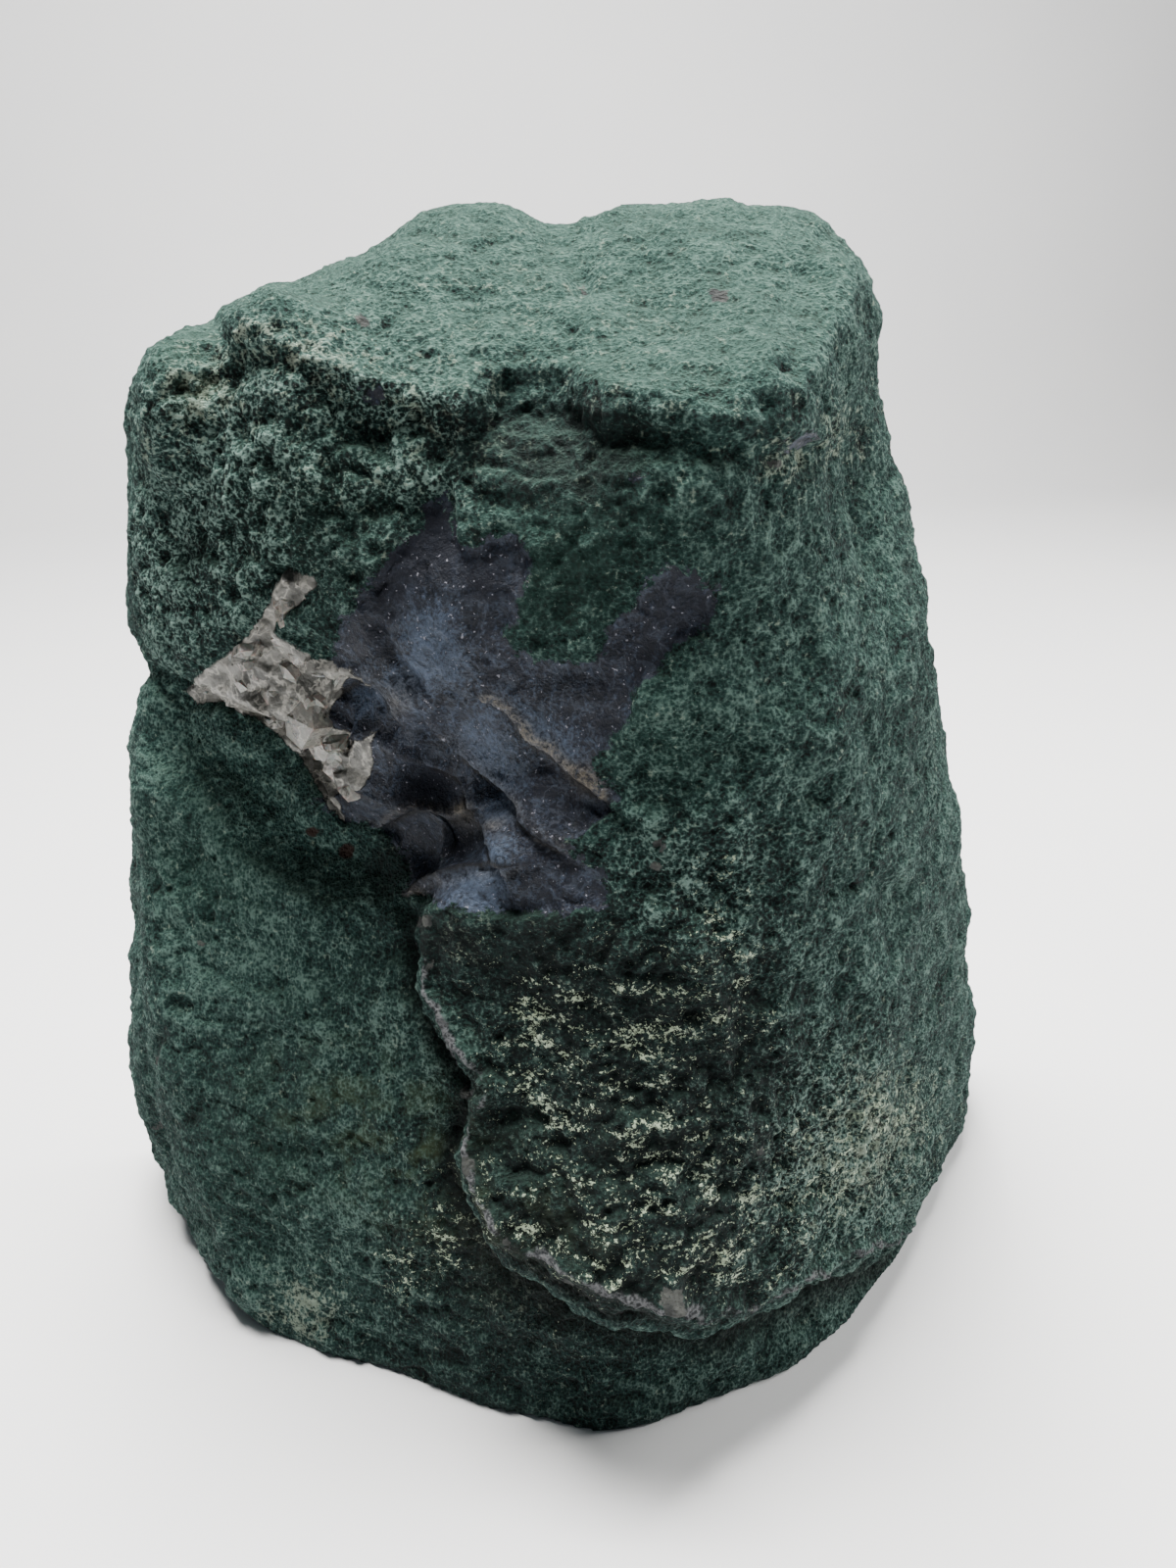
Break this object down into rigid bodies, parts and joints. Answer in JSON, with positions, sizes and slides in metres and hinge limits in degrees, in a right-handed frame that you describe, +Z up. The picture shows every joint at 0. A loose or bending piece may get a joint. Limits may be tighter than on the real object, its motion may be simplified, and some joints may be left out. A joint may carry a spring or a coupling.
{
  "type": "amethyst agate geode",
  "caption": "Free-standing amethyst agate geode with a rough green rind, a sawn agate face behind and a deep hollow of amethyst crystals, flat underneath.",
  "frame": {"origin": "middle of the footprint's box, on the floor", "axes": "+Z up, -Y out of the rough rind that the picture shows, +Y out of the sawn face and its hollow, +X to the right as seen from the rind"},
  "size_m": [0.2946, 0.1496, 0.3018],
  "materials": {
    "rind_and_agate": "rough, porous green rind over grey-blue agate, which is glassy where broken and polished on the sawn face",
    "amethyst": "clear violet quartz crystals with smooth flat faces"
  },
  "bodies": {
    "root": {"geode_body": "rind_and_agate", "amethyst_crust": "amethyst"}
  },
  "joints": []
}
